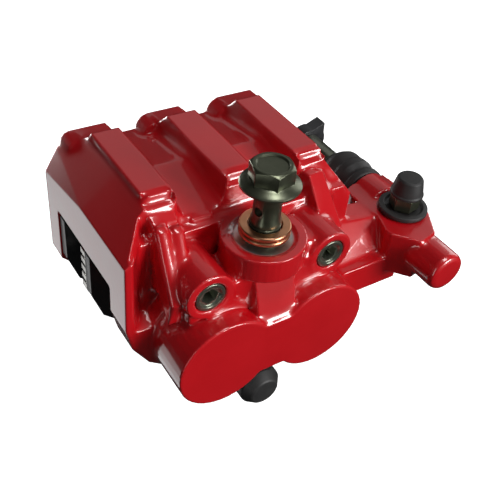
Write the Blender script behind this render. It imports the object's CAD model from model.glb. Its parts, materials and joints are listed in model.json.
"""The finished look of a two-piston sliding brake caliper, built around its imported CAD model."""

import json
from math import cos, pi, radians, sin, tan

import bmesh
import bpy
import numpy as np
from mathutils import Matrix, Vector


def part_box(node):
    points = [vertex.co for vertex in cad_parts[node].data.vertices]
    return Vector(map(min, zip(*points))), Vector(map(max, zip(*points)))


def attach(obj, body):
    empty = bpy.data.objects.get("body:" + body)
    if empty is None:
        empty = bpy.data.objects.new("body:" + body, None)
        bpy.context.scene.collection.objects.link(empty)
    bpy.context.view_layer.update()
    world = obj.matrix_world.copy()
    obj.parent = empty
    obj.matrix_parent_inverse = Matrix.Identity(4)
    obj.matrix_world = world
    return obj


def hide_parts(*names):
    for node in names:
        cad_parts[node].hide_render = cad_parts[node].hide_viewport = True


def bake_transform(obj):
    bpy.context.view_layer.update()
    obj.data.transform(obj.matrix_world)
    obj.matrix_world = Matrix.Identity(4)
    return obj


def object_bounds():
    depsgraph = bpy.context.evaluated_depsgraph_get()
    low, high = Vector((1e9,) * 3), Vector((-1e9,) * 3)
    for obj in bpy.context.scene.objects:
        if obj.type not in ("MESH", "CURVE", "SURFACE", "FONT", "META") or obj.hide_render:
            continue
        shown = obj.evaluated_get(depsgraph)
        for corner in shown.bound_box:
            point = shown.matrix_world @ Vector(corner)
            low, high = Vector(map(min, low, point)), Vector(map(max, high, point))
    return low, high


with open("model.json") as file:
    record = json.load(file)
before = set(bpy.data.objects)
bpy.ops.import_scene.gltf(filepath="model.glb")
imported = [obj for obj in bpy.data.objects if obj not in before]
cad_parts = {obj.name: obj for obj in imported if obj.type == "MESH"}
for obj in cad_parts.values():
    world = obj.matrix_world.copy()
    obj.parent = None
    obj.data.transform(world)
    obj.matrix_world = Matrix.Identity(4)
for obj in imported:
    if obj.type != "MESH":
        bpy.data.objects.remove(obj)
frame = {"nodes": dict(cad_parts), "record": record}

size_at_start = [list(corner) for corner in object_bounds()]

MM = 0.001


def middle(node):
    """The centre of a CAD node's box."""
    low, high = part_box(node)
    return (low + high) / 2


# Where things are, read from the CAD nodes
CASTING_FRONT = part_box("caliper_body")[0].y
PORT = middle("lower_copper_washer")
PORT_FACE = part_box("lower_copper_washer")[0].z - 2.1 * MM
PISTONS = [middle("piston_left"), middle("piston_right")]
HOUSING_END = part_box("dust_seal_left")[1].y + 2 * MM
MAIN_PIN = middle("main_slide_pin")

# Where the casting is machined and stays bare of paint
PORT_FACE_RADIUS = 10.45 * MM
PORT_HOLE_RADIUS = 5.7 * MM
PORT_HOLE_DEPTH = 18 * MM
BORE_RADIUS = 15.25 * MM
BORE_START = 20.6 * MM
TURNING_PITCH = 0.35 * MM
PAINT_EDGE = 0.0002

# The casting's skin; no fillet grows inside SNUG_RADIUS of the main pin's axis
SNUG_RADIUS = 6.2 * MM
VOXEL = 0.42 * MM
FILLET_STEPS = 34
FILLET_RATE = 0.9
EDGE_SMOOTHING = 2
CASTING_TRIANGLES = 190000

# Loose points closer than this, in metres, are one point
WELD = 0.000001
TURNED_WELD = 0.000002

# Hexagons across their flats, in millimetres, and the break along their edges
BOLT_HEX = 12.3
PAD_PIN_SOCKET = 5.0
BLEED_HEX = 9.4
HEX_BEVEL = 0.22 * MM

# The room around the object
FLOOR_SIZE = 6.0
FLOOR_DROP = 0.012
BACKDROP_RADIUS = 2.9
WORLD_LIGHT = 0.025

# Where the viewer stands, about the model's origin
VIEW_AZIMUTH = radians(-36.82)
VIEW_ELEVATION = radians(40.40)
VIEW_ROLL = radians(6.96)
VIEW_DISTANCE = 0.30675
VIEW_RIGHT = -0.01261
VIEW_UP = 0.0325
LENS = 54.0


class Value:
    """A shader value that Python can do sums with."""

    def __init__(self, finish, socket):
        self.finish = finish
        self.socket = socket

    def sum_with(self, operation, *others, clamp=False):
        settings = {"operation": operation, "use_clamp": clamp}
        return self.finish.node("ShaderNodeMath", settings, dict(enumerate((self, *others))))

    def __add__(self, other):
        return self.sum_with("ADD", other)

    def __mul__(self, other):
        return self.sum_with("MULTIPLY", other)

    def __sub__(self, other):
        return self.sum_with("SUBTRACT", other)

    def __rsub__(self, other):
        return self.sum_with("MULTIPLY_ADD", -1.0, other)

    def __truediv__(self, other):
        return self.sum_with("DIVIDE", other)

    def __pow__(self, other):
        return self.sum_with("POWER", other)

    __radd__ = __add__
    __rmul__ = __mul__

    def below(self, limit, softness=PAINT_EDGE):
        """1 where the value is under the limit and 0 over it, with a soft edge."""
        return ((limit - self) / softness + 0.5).sum_with("ADD", 0.0, clamp=True)

    def above(self, limit, softness=PAINT_EDGE):
        """1 where the value is over the limit and 0 under it, with a soft edge."""
        return ((self - limit) / softness + 0.5).sum_with("ADD", 0.0, clamp=True)

    def larger(self, other):
        return self.sum_with("MAXIMUM", other)

    def clamped(self):
        return self.sum_with("ADD", 0.0, clamp=True)


class Finish:
    """A material, with one method that adds any node to it."""

    def __init__(
        self, name, colour, roughness,
        metallic=0.0, coat=0.0, coat_roughness=0.08, specular=0.5,
    ):
        self.material = bpy.data.materials.new(name)
        self.material.use_nodes = True
        self.tree = self.material.node_tree
        self.shader = self.tree.nodes["Principled BSDF"]
        self.set("Base Color", (*colour, 1))
        self.set("Roughness", roughness)
        self.set("Metallic", metallic)
        self.set("Coat Weight", coat)
        self.set("Coat Roughness", coat_roughness)
        self.set("Specular IOR Level", specular)
        self.place = self.node("ShaderNodeTexCoord", out="Object")

    def feed(self, socket, value):
        if isinstance(value, Value):
            self.tree.links.new(value.socket, socket)
        else:
            socket.default_value = value

    def node(self, kind, settings=None, sockets=None, out=0):
        made = self.tree.nodes.new(kind)
        for key, setting in (settings or {}).items():
            setattr(made, key, setting)
        for key, value in (sockets or {}).items():
            self.feed(made.inputs[key], value)
        return Value(self, made.outputs[out])

    def set(self, socket, value):
        self.feed(self.shader.inputs[socket], value)

    def noise(self, scale, detail=2.0, roughness=0.5):
        sockets = {"Vector": self.place, "Scale": scale, "Detail": detail, "Roughness": roughness}
        return self.node("ShaderNodeTexNoise", None, sockets)

    def mix(self, factor, first, second):
        """Colours, from first at 0 to second at 1."""
        def full(colour):
            return colour if isinstance(colour, Value) else (*colour, 1)
        sockets = {0: factor, 6: full(first), 7: full(second)}
        return self.node("ShaderNodeMix", {"data_type": "RGBA"}, sockets, out=2)

    def blend(self, factor, first, second):
        """Numbers, from first at 0 to second at 1."""
        return factor * second + (1 - factor) * first

    def axes(self):
        """The x, y and z of the point, in metres."""
        place = {0: self.place}
        return [self.node("ShaderNodeSeparateXYZ", None, place, out=axis) for axis in range(3)]

    def painted(self, name):
        """A value that mark_curves stored on the mesh."""
        return self.node("ShaderNodeAttribute", {"attribute_name": name}, out="Fac")

    def bump(self, height, distance, strength=1.0):
        """Raises the surface by the distance, in metres, where the height is 1."""
        sockets = {"Height": height, "Distance": distance, "Strength": strength}
        self.set("Normal", self.node("ShaderNodeBump", None, sockets))

    def round(self, x, y, across, along):
        """The distance of a point from an axis through (x, y) in two of the axes."""
        a = across - x
        b = along - y
        return (a * a + b * b) ** 0.5


def red_paint():
    """Thick glossy red over the casting, and the machined metal where it stops."""
    finish = Finish("red_paint", (0.5, 0.004, 0.008), 0.32, coat=1.0, coat_roughness=0.05)
    x, y, z = finish.axes()
    port = finish.round(PORT.x, PORT.y, x, y)
    face = port.below(PORT_FACE_RADIUS)
    face = face * z.above(PORT_FACE - 0.5 * MM) * z.below(PORT_FACE + 0.32 * MM)
    hole = port.below(PORT_HOLE_RADIUS)
    hole = hole * z.above(PORT_FACE - PORT_HOLE_DEPTH) * z.below(PORT_FACE + 0.6 * MM)
    bare = face.larger(hole)
    for piston in PISTONS:
        bore = finish.round(piston.x, piston.z, x, z)
        depth = y.above(CASTING_FRONT + BORE_START)
        bare = bare.larger(bore.below(BORE_RADIUS) * depth * y.below(HOUSING_END + 0.3 * MM))
    hollow = finish.painted("hollow")
    edge = finish.painted("edge")
    mottle = finish.noise(70, 3.0)
    red = finish.mix(mottle, (0.44, 0.0015, 0.005), (0.54, 0.0025, 0.0075))
    red = finish.mix((hollow * 0.75).clamped(), red, (0.2, 0.0003, 0.0014))
    red = finish.mix((edge * 0.3).clamped(), red, (0.72, 0.035, 0.045))
    turning = (port * (2 * pi / TURNING_PITCH)).sum_with("SINE")
    grain = finish.noise(2600, 3.0)
    metal = finish.mix(grain, (0.50, 0.50, 0.49), (0.72, 0.72, 0.70))
    finish.set("Base Color", finish.mix(bare, red, metal))
    finish.set("Metallic", bare)
    finish.set("Coat Weight", 1 - bare)
    finish.set("Roughness", finish.blend(bare, 0.3 + mottle * 0.08, 0.26 + grain * 0.2))
    peel = finish.noise(420, 2.0, 0.45)
    sand = finish.noise(1500, 3.0, 0.6)
    skin = peel * 0.8 + sand * 0.2 * (0.4 + hollow)
    finish.bump(finish.blend(bare, skin, turning * 0.12 + grain * 0.2), 0.035 * MM, 0.8)
    return finish.material


def plated(name, light, dark, roughness=0.3, metallic=0.9):
    """Zinc plate: a dull sheen that is darker in patches and worn brighter on its edges."""
    finish = Finish(name, light, roughness, metallic)
    patches = finish.noise(260, 4.0, 0.6)
    grain = finish.noise(2400, 2.0)
    colour = finish.mix(patches, dark, light)
    worn = tuple(min(1.0, channel * 1.8 + 0.06) for channel in light)
    colour = finish.mix((finish.painted("edge") * 0.6).clamped(), colour, worn)
    finish.set("Base Color", colour)
    finish.set("Roughness", roughness - 0.05 + patches * 0.16)
    finish.bump(grain, 0.02 * MM, 0.35)
    return finish.material


def copper():
    finish = Finish("copper", (0.8, 0.4, 0.22), 0.28, 1.0)
    tarnish = finish.noise(330, 4.0, 0.6)
    finish.set("Base Color", finish.mix(tarnish, (0.86, 0.46, 0.27), (0.62, 0.27, 0.13)))
    finish.set("Roughness", 0.2 + tarnish * 0.22)
    finish.bump(finish.noise(900, 3.0), 0.03 * MM, 0.3)
    return finish.material


def rubber():
    finish = Finish("black_rubber", (0.02, 0.02, 0.02), 0.5, specular=0.4)
    bloom = finish.noise(240, 4.0, 0.6)
    finish.set("Base Color", finish.mix(bloom, (0.014, 0.014, 0.015), (0.036, 0.035, 0.034)))
    finish.set("Roughness", 0.42 + bloom * 0.2)
    finish.bump(finish.noise(1900, 3.0), 0.04 * MM, 0.4)
    return finish.material


def black_steel():
    finish = Finish("black_steel", (0.018, 0.018, 0.02), 0.42, 0.2, coat=0.3, coat_roughness=0.25)
    patches = finish.noise(300, 4.0, 0.6)
    finish.set("Base Color", finish.mix(patches, (0.012, 0.012, 0.014), (0.032, 0.032, 0.034)))
    finish.set("Roughness", 0.34 + patches * 0.2)
    finish.bump(finish.noise(1300, 4.0, 0.6), 0.05 * MM, 0.5)
    return finish.material


def bright_steel(name, colour, roughness):
    finish = Finish(name, colour, roughness, 1.0)
    streaks = finish.noise(500, 4.0, 0.6)
    finish.set("Base Color", finish.mix(streaks, tuple(c * 0.8 for c in colour), colour))
    finish.set("Roughness", roughness + streaks * 0.12)
    return finish.material


def lining():
    finish = Finish("friction_lining", (0.07, 0.06, 0.05), 0.85)
    sockets = {"Vector": finish.place, "Scale": 1300.0}
    grit = finish.node("ShaderNodeTexVoronoi", None, sockets, out="Color")
    speck = finish.node("ShaderNodeSeparateColor", None, {0: grit}, out=0)
    colour = finish.mix(speck.above(0.86, 0.05), (0.045, 0.04, 0.035), (0.4, 0.3, 0.2))
    finish.set("Base Color", colour)
    finish.set("Metallic", speck.above(0.86, 0.05) * 0.8)
    finish.bump(speck, 0.06 * MM, 0.5)
    return finish.material


FINISHES = {
    "red_paint": red_paint(),
    "hard_chrome": bright_steel("hard_chrome", (0.55, 0.55, 0.53), 0.12),
    "olive_zinc": plated("olive_zinc", (0.155, 0.165, 0.115), (0.085, 0.095, 0.06), 0.3),
    "zinc_plate": plated("zinc_plate", (0.27, 0.29, 0.23), (0.14, 0.155, 0.115), 0.26),
    "copper": copper(),
    "black_rubber": rubber(),
    "black_steel": black_steel(),
    "friction_lining": lining(),
    "stainless_spring": bright_steel("stainless_spring", (0.6, 0.59, 0.56), 0.24),
}
SLOT_OF = {part["node"]: part["material_slot"] for part in frame["record"]["subparts"]}
BODIES = frame["record"]["behaviour"]["bodies"]
BODY_OF = {node: body for body, nodes in BODIES.items() for node in nodes}


def deselect():
    if bpy.context.mode != "OBJECT":
        bpy.ops.object.mode_set(mode="OBJECT")
    bpy.ops.object.select_all(action="DESELECT")


def choose(piece):
    deselect()
    piece.select_set(True)
    bpy.context.view_layer.objects.active = piece
    return piece


def copied(node, name):
    """A copy of a CAD node's mesh, merged into one surface."""
    source = frame["nodes"][node]
    piece = bpy.data.objects.new(name, source.data.copy())
    bpy.context.scene.collection.objects.link(piece)
    choose(piece)
    bpy.ops.object.mode_set(mode="EDIT")
    bpy.ops.mesh.select_all(action="SELECT")
    bpy.ops.mesh.remove_doubles(threshold=WELD)
    bpy.ops.object.mode_set(mode="OBJECT")
    return piece


def apply(piece, kind, **settings):
    choose(piece)
    modifier = piece.modifiers.new(kind.lower(), kind)
    for key, value in settings.items():
        setattr(modifier, key, value)
    bpy.ops.object.modifier_apply(modifier=modifier.name)


def cut(piece, tool, operation="DIFFERENCE"):
    """Cuts a piece with a tool, which is then thrown away."""
    apply(piece, "BOOLEAN", operation=operation, solver="EXACT", object=tool)
    bpy.data.objects.remove(tool)


def shade(piece, angle=40):
    """Smooth shading, except across edges sharper than the angle, in degrees."""
    choose(piece)
    bpy.ops.object.shade_smooth_by_angle(angle=radians(angle))


def neighbours(mesh):
    """For each edge, its two ends, as two arrays."""
    ends = np.empty(len(mesh.edges) * 2, np.int64)
    mesh.edges.foreach_get("vertices", ends)
    return ends[0::2], ends[1::2]


def points_of(mesh):
    points = np.empty(len(mesh.vertices) * 3)
    mesh.vertices.foreach_get("co", points)
    return points.reshape(-1, 3)


def vertex_normals(mesh):
    normals = np.empty(len(mesh.vertices) * 3, np.float32)
    mesh.vertex_normals.foreach_get("vector", normals)
    return normals.reshape(-1, 3).astype(float)


def edge_count(points, a, b):
    """How many edges meet at each point, and never less than one."""
    count = np.bincount(a, minlength=len(points)) + np.bincount(b, minlength=len(points))
    return np.maximum(count, 1)


def pull(points, a, b):
    """How far each point is from the mean of its neighbours, as a vector."""
    count = edge_count(points, a, b)
    mean = np.empty_like(points)
    for axis in range(3):
        ends = np.bincount(a, points[b, axis], len(points))
        mean[:, axis] = (ends + np.bincount(b, points[a, axis], len(points))) / count
    return mean - points


def fill_corners(mesh, steps, rate):
    """Grows a cast fillet in every hollow corner and leaves the outer edges alone."""
    a, b = neighbours(mesh)
    points = points_of(mesh)
    free = np.hypot(points[:, 0] - MAIN_PIN.x, points[:, 2] - MAIN_PIN.z) > SNUG_RADIUS
    for step in range(steps):
        mesh.vertices.foreach_set("co", points.ravel())
        mesh.update()
        normals = vertex_normals(mesh)
        outward = np.einsum("ij,ij->i", pull(points, a, b), normals)
        points += normals * (np.maximum(outward, 0) * free)[:, None] * rate
    mesh.vertices.foreach_set("co", points.ravel())
    mesh.update()


def mark_curves(mesh, spread, strength):
    """Stores where the surface is hollow and where it has an edge, for the paint."""
    a, b = neighbours(mesh)
    points = points_of(mesh)
    reach = np.linalg.norm(points[a] - points[b], axis=1)
    reaches = np.bincount(a, reach, len(points)) + np.bincount(b, reach, len(points))
    mean_reach = np.maximum(reaches / edge_count(points, a, b), 1e-7)
    bend = np.einsum("ij,ij->i", pull(points, a, b), vertex_normals(mesh)) / mean_reach
    for step in range(spread):
        bend = bend + 0.5 * pull(bend[:, None].repeat(3, 1), a, b)[:, 0]
    for name, amount in (("hollow", bend), ("edge", -bend)):
        attribute = mesh.attributes.new(name, "FLOAT", "POINT")
        attribute.data.foreach_set("value", np.clip(amount * strength, 0, 1).astype(np.float32))


def hand_over(piece, *nodes, rides=True):
    """Gives a finished piece its material, its body and the CAD nodes it stands for."""
    slot = SLOT_OF[nodes[0]]
    piece.data.materials.clear()
    piece.data.materials.append(FINISHES[slot])
    piece.data.polygons.foreach_set("material_index", [0] * len(piece.data.polygons))
    if rides:
        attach(piece, BODY_OF[nodes[0]])
    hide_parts(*nodes)
    return piece


def cast_body():
    """The painted casting: its CAD mesh made fine, with fillets grown and edges softened."""
    piece = copied("caliper_body", "painted_casting")
    apply(piece, "REMESH", mode="VOXEL", voxel_size=VOXEL, adaptivity=0.0)
    apply(piece, "SMOOTH", factor=0.5, iterations=2)
    fill_corners(piece.data, FILLET_STEPS, FILLET_RATE)
    apply(piece, "SMOOTH", factor=0.5, iterations=EDGE_SMOOTHING)
    triangles = 2 * len(piece.data.polygons)
    apply(piece, "DECIMATE", ratio=min(1.0, CASTING_TRIANGLES / triangles))
    mark_curves(piece.data, 6, 5.0)
    piece.data.polygons.foreach_set("use_smooth", [True] * len(piece.data.polygons))
    return hand_over(piece, "caliper_body")


def bevelled(node, name, width):
    """A CAD node with its edges broken, for the simple pieces."""
    piece = copied(node, name)
    apply(piece, "BEVEL", width=width, segments=3, limit_method="ANGLE", angle_limit=radians(35))
    shade(piece)
    mark_curves(piece.data, 0, 2.0)
    return piece


def rounded(profile, radius, steps=4):
    """A turned profile with each inner corner rounded off."""
    soft = [Vector(profile[0])]
    for before, corner, after in zip(profile, profile[1:], profile[2:]):
        before, corner, after = Vector(before), Vector(corner), Vector(after)
        back, on = (before - corner), (after - corner)
        turn = pi - back.angle(on) if back.length and on.length else 0
        reach = radius * tan(turn / 2)
        reach = min(reach, 0.45 * back.length, 0.45 * on.length)
        if turn < radians(8) or reach < 1e-4:
            soft.append(corner)
            continue
        start = corner + back.normalized() * reach
        end = corner + on.normalized() * reach
        for k in range(steps + 1):
            t = k / steps
            soft.append(start * (1 - t) ** 2 + corner * 2 * t * (1 - t) + end * t * t)
    soft.append(Vector(profile[-1]))
    return soft


def turned(name, centre, axis, profile, steps=96, closed=False):
    """Spins (radius, height) points, in millimetres, about an axis through the centre."""
    deselect()
    bpy.ops.mesh.primitive_circle_add(vertices=len(profile), radius=MM, location=(0, 0, 0))
    piece = bpy.context.object
    piece.name = name
    for vertex, (radius, height) in zip(piece.data.vertices, profile):
        vertex.co = Vector((radius, 0, height)) * MM
    bpy.ops.object.mode_set(mode="EDIT")
    form = bmesh.from_edit_mesh(piece.data)
    if not closed:
        form.verts.ensure_lookup_table()
        ends = {form.verts[0], form.verts[len(profile) - 1]}
        loose = [edge for edge in form.edges if set(edge.verts) == ends]
        bmesh.ops.delete(form, geom=loose, context="EDGES")
        bmesh.update_edit_mesh(piece.data)
    bpy.ops.mesh.select_all(action="SELECT")
    bpy.ops.mesh.spin(steps=steps, angle=2 * pi, center=(0, 0, 0), axis=(0, 0, 1))
    bpy.ops.mesh.select_all(action="SELECT")
    bpy.ops.mesh.remove_doubles(threshold=TURNED_WELD)
    bpy.ops.mesh.dissolve_degenerate(threshold=WELD)
    bpy.ops.mesh.select_all(action="SELECT")
    bpy.ops.mesh.normals_make_consistent(inside=False)
    bpy.ops.object.mode_set(mode="OBJECT")
    upright = {"Z": Matrix.Identity(4), "Y": Matrix.Rotation(-pi / 2, 4, "X")}
    piece.data.transform(Matrix.Translation(centre) @ upright[axis])
    shade(piece)
    return piece


def hexagon(name, centre, axis, across, low, high, first_corner, chamfer=0.0):
    """A hexagonal prism between two heights, in millimetres, with its top corners turned off.

    Along Y its heights run towards the front, the other way from a turned piece's.
    """
    deselect()
    corner = across / 2 / cos(pi / 6)
    bpy.ops.mesh.primitive_cylinder_add(vertices=6, radius=corner * MM, depth=(high - low) * MM)
    piece = bpy.context.object
    piece.name = name
    turn = Matrix.Rotation(radians(first_corner) - pi / 2, 4, "Z")
    piece.data.transform(turn @ Matrix.Translation((0, 0, (low + high) / 2 * MM)))
    if chamfer:
        rim = corner + 0.6
        cone = [(0, high), (across / 2 - 0.3, high), (rim, high - chamfer)]
        cone += [(rim, low - 1), (0, low - 1)]
        cut(piece, turned(name + "_blank", (0, 0, 0), "Z", cone, 64), "INTERSECT")
    breaking = {"limit_method": "ANGLE", "angle_limit": radians(25)}
    apply(piece, "BEVEL", width=HEX_BEVEL, segments=3, **breaking)
    upright = {"Z": Matrix.Identity(4), "Y": Matrix.Rotation(pi / 2, 4, "X")}
    piece.data.transform(Matrix.Translation(centre) @ upright[axis])
    shade(piece, 30)
    return piece


def joined(pieces, name):
    deselect()
    for piece in pieces:
        piece.select_set(True)
    bpy.context.view_layer.objects.active = pieces[0]
    bpy.ops.object.join()
    pieces[0].name = name
    return pieces[0]


def millimetres(node, axis):
    """The two ends of a CAD node along an axis."""
    low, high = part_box(node)
    return low[axis] / MM, high[axis] / MM


def radius_of(node):
    """A round CAD node's radius, in millimetres."""
    return (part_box(node)[1].x - middle(node).x) / MM


def looped(loop, radius):
    """A closed profile with every corner rounded off."""
    return rounded([*loop, loop[0], loop[1]], radius)[1:-1]


def banjo_bolt():
    """The hollow bolt, with grooves for its thread, a cross drilling and a dished hexagon."""
    centre = middle("banjo_bolt")
    low, high = millimetres("banjo_bolt", 2)
    radius = radius_of("banjo_bolt")
    flange = high - 7.5
    thread_end = low + 8.6
    pitch = 1.0
    shank = [(0, low), (2.6, low), (4.1, low + 0.9)]
    height = low + 1.2
    while height < thread_end:
        shank += [(4.85, height + 0.28), (4.85, height + 0.42)]
        shank += [(4.45, height + 0.72), (4.45, height + 0.82)]
        height += pitch
    shank += [(4.8, low + 9.4), (4.8, low + 10.6), (4.35, low + 11.6)]
    shank += [(4.3, flange - 3.6), (4.7, flange - 1.5), (5.6, flange - 0.35)]
    shank += [(radius - 0.5, flange), (radius - 0.1, flange + 0.3), (radius, flange + 0.9)]
    shank += [(radius - 0.5, flange + 1.5), (7.2, flange + 2.1)]
    shank += [(6.5, flange + 2.6), (0, flange + 2.6)]
    body = turned("banjo_bolt_body", (centre.x, centre.y, 0), "Z", shank, 96)
    drill = turned("drill", (0, 0, 0), "Z", [(0, 14), (1.55, 14), (1.55, -14), (0, -14)], 40)
    lean = Matrix.Rotation(radians(-75), 4, "Z") @ Matrix.Rotation(pi / 2, 4, "X")
    drill.data.transform(Matrix.Translation((centre.x, centre.y, (low + 14.6) * MM)) @ lean)
    cut(body, drill)
    axis = (centre.x, centre.y, 0)
    head = hexagon("banjo_bolt_head", axis, "Z", BOLT_HEX, flange + 1.4, high, 12, 1.1)
    hollow = [(0, high + 2), (5.0, high + 2), (5.0, high), (4.5, high - 0.55), (0, high - 0.7)]
    cut(head, turned("dish", axis, "Z", hollow, 64))
    shade(head, 30)
    whole = joined([body, head], "banjo_bolt_finished")
    shade(whole, 32)
    mark_curves(whole.data, 0, 1.5)
    return hand_over(whole, "banjo_bolt")


def washer(node):
    centre = middle(node)
    low, high = millimetres(node, 2)
    radius = radius_of(node)
    ring = [(5.25, high - 0.2), (5.5, high), (radius - 0.35, high), (radius, high - 0.4)]
    ring += [(radius, low + 0.4), (radius - 0.35, low), (5.5, low), (5.25, low + 0.2)]
    soft = looped(ring, 0.3)
    piece = turned(node + "_finished", (centre.x, centre.y, 0), "Z", soft, 96, closed=True)
    return hand_over(piece, node)


def pad_pin(node):
    centre = middle(node)
    low, high = millimetres(node, 1)
    head = radius_of(node)
    profile = [(0, high), (2.1, high), (2.7, high - 0.6), (2.7, low + 7), (head, low + 7)]
    profile += [(head, low), (3.9, low), (3.3, low + 0.7), (0, low + 0.7)]
    piece = turned(node + "_finished", (centre.x, 0, centre.z), "Y", rounded(profile, 0.35), 72)
    axis = (centre.x, 0, centre.z)
    cut(piece, hexagon("key", axis, "Y", PAD_PIN_SOCKET, -low - 5.2, -low + 3, 15))
    shade(piece, 32)
    mark_curves(piece.data, 0, 1.2)
    return hand_over(piece, node)


def lower_boot():
    node = "lower_pin_boot"
    centre = middle(node)
    low, high = millimetres(node, 1)
    radius = 7.8
    profile = [(0, low), (4.9, low), (5.5, low + 0.4), (radius - 0.1, low + 3.2)]
    profile += [(radius, low + 3.8), (radius, low + 18.4), (7.0, low + 19.2), (6.9, low + 29.6)]
    profile += [(8.9, low + 30.2)]
    profile += [(8.9, high - 0.1), (4.8, high - 0.1), (4.8, low + 4.4), (0, low + 4.4)]
    piece = turned(node + "_finished", (centre.x, 0, centre.z), "Y", rounded(profile, 0.5), 96)
    return hand_over(piece, node)


def main_boot():
    """The boot that joins the casting's arm to the main pin, and stretches as it slides."""
    node = "main_pin_boot"
    centre = middle(node)
    low, high = millimetres(node, 1)
    outer = [(4.9, high), (5.7, high), (5.9, high - 1.8), (7.7, high - 2.5), (9.1, high - 4.8)]
    outer += [(9.3, high - 6.0), (9.2, high - 9.6), (9.5, high - 10.6), (9.55, high - 13.2)]
    outer += [(8.7, high - 15.6), (8.6, high - 16.6), (9.15, high - 17.4), (9.15, low)]
    inner = [(6.0, low), (6.0, low + 2.6), (6.8, low + 4.4), (7.7, low + 6.8)]
    inner += [(7.6, low + 9.4), (7.4, low + 14), (6.0, low + 16.6), (4.9, low + 17.4)]
    soft = looped(outer + inner, 0.9)
    piece = turned(node + "_finished", (centre.x, 0, centre.z), "Y", soft, 96, closed=True)
    hand_over(piece, node, rides=False)
    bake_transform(piece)
    return piece


def bleed_screw():
    node = "bleed_screw"
    centre = middle(node)
    low, high = millimetres(node, 2)
    top = millimetres("cap_tether", 2)[1] - 0.6
    profile = [(0, high), (1.6, high), (2.3, high - 0.5), (2.7, high - 1.2), (2.2, high - 2.6)]
    profile += [(2.2, top + 4), (3.2, top + 4), (3.2, top + 0.2), (3.7, top)]
    profile += [(3.7, low + 2), (1.5, low), (0, low)]
    axis = (centre.x, centre.y, 0)
    stem = turned("bleed_stem", axis, "Z", rounded(profile, 0.2), 64)
    head = hexagon("bleed_hex", axis, "Z", BLEED_HEX, top + 0.25, high - 4.8, 10, 0.7)
    whole = joined([stem, head], "bleed_screw_finished")
    mark_curves(whole.data, 0, 1.4)
    return hand_over(whole, node)


def bleed_cap():
    node = "bleed_cap"
    centre = middle(node)
    low, high = millimetres(node, 2)
    profile = [(0, high), (4.1, high), (4.75, high - 0.7), (5.65, low + 1.9), (5.7, low + 1.3)]
    profile += [(6.05, low + 0.9), (6.05, low), (3.2, low), (3.2, high - 2), (0, high - 2)]
    piece = turned(node + "_finished", (centre.x, centre.y, 0), "Z", rounded(profile, 0.45), 72)
    return hand_over(piece, node)


def seat_ring():
    node = "cap_tether"
    centre = middle(node)
    low, high = millimetres(node, 2)
    radius = radius_of(node)
    ring = [(4.1, low + 1.2), (6.5, low + 1.2), (7.2, high), (radius - 0.1, high - 0.2)]
    ring += [(radius, low + 0.9), (radius - 0.5, low), (4.1, low)]
    soft = looped(ring, 0.4)
    piece = turned(node + "_finished", (centre.x, centre.y, 0), "Z", soft, 80, closed=True)
    return hand_over(piece, node)


def staged(name, finish):
    """Makes the newest object a background piece that throws no light on the caliper."""
    piece = bpy.context.object
    piece.name = name
    piece.data.materials.append(finish.material)
    piece.visible_glossy = False
    piece.visible_diffuse = False
    return piece


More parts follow.
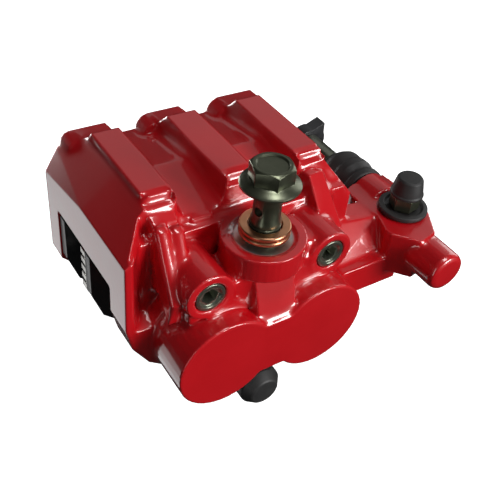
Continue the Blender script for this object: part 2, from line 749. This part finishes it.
def floor_and_light():
    low, high = size_at_start
    deselect()
    bpy.ops.mesh.primitive_plane_add(size=FLOOR_SIZE, location=(0, 0, low[2] - FLOOR_DROP))
    pale = Finish("pale_floor", (0.9, 0.9, 0.9), 0.9)
    pale.set("Emission Color", (1, 1, 1, 1))
    pale.set("Emission Strength", 1.0)
    staged("floor", pale)
    deselect()
    bpy.ops.mesh.primitive_uv_sphere_add(segments=48, ring_count=24, radius=BACKDROP_RADIUS)
    staged("backdrop", pale).visible_shadow = False
    target = (Vector(low) + Vector(high)) / 2
    # Each lamp's name, place about the target, width, height and power
    lamps = (
        ("key", (0.6, -1.2, 0.35), 0.55, 0.55, 19),
        ("crown", (0.1, -0.35, 1.25), 0.4, 0.4, 6),
        ("behind", (0.65, 0.85, 0.9), 1.3, 0.9, 1.2),
        ("left_low", (-0.6, 0.8, -0.85), 0.8, 0.8, 2.1),
        ("strip", (-1.1, -0.6, 0.05), 0.16, 1.1, 2.0),
        ("right", (1.2, 0.3, 0.4), 0.5, 0.9, 3),
        ("back", (-0.25, 1.35, -0.2), 0.7, 0.7, 12),
    )
    for name, place, width, height, power in lamps:
        deselect()
        bpy.ops.object.light_add(type="AREA", location=target + Vector(place))
        lamp = bpy.context.object
        lamp.name = name
        lamp.data.shape = "RECTANGLE"
        lamp.data.size = width
        lamp.data.size_y = height
        lamp.data.energy = power
        lamp.rotation_euler = (-Vector(place)).to_track_quat("-Z", "Y").to_euler()
    world = bpy.data.worlds.new("studio")
    world.use_nodes = True
    sky = world.node_tree.nodes["Background"]
    sky.inputs["Color"].default_value = (1, 1, 1, 1)
    sky.inputs["Strength"].default_value = WORLD_LIGHT
    bpy.context.scene.world = world


def camera():
    a, e, roll = VIEW_AZIMUTH, VIEW_ELEVATION, VIEW_ROLL
    back = Vector((sin(a) * cos(e), -cos(a) * cos(e), sin(e)))
    right = Vector((0, 0, 1)).cross(back).normalized()
    up = back.cross(right)
    lens = bpy.data.cameras.new("viewer")
    lens.lens = LENS
    lens.clip_start = 0.01
    viewer = bpy.data.objects.new("viewer", lens)
    bpy.context.scene.collection.objects.link(viewer)
    across = right * cos(roll) + up * sin(roll)
    above = up * cos(roll) - right * sin(roll)
    turn = Matrix((across, above, back)).transposed().to_4x4()
    place = back * VIEW_DISTANCE + right * VIEW_RIGHT + up * VIEW_UP
    viewer.matrix_world = Matrix.Translation(place) @ turn
    bpy.context.scene.camera = viewer
    bpy.context.scene.view_settings.view_transform = "Standard"


# The simple pieces, and how much of their edges is broken, in millimetres
BROKEN_EDGES = {
    "bracket": 0.6, "inner_pad_plate": 0.35, "outer_pad_plate": 0.35,
    "inner_pad_lining": 0.2, "outer_pad_lining": 0.2, "inner_pad_shim": 0.1,
    "pad_end_clip": 0.15, "pad_spring": 0.1, "pad_retainer": 0.1,
    "main_slide_pin": 0.15, "lower_slide_pin": 0.15,
    "piston_left": 0.2, "piston_right": 0.2, "piston_seal_left": 0.2,
    "piston_seal_right": 0.2, "dust_seal_left": 0.2, "dust_seal_right": 0.2,
}

cast_body()
banjo_bolt()
washer("upper_copper_washer")
washer("lower_copper_washer")
for pin in ("pad_pin_left", "pad_pin_right"):
    pad_pin(pin)
lower_boot()
main_boot()
bleed_screw()
bleed_cap()
seat_ring()
for node, width in BROKEN_EDGES.items():
    hand_over(bevelled(node, node + "_finished", width * MM), node)
floor_and_light()
camera()
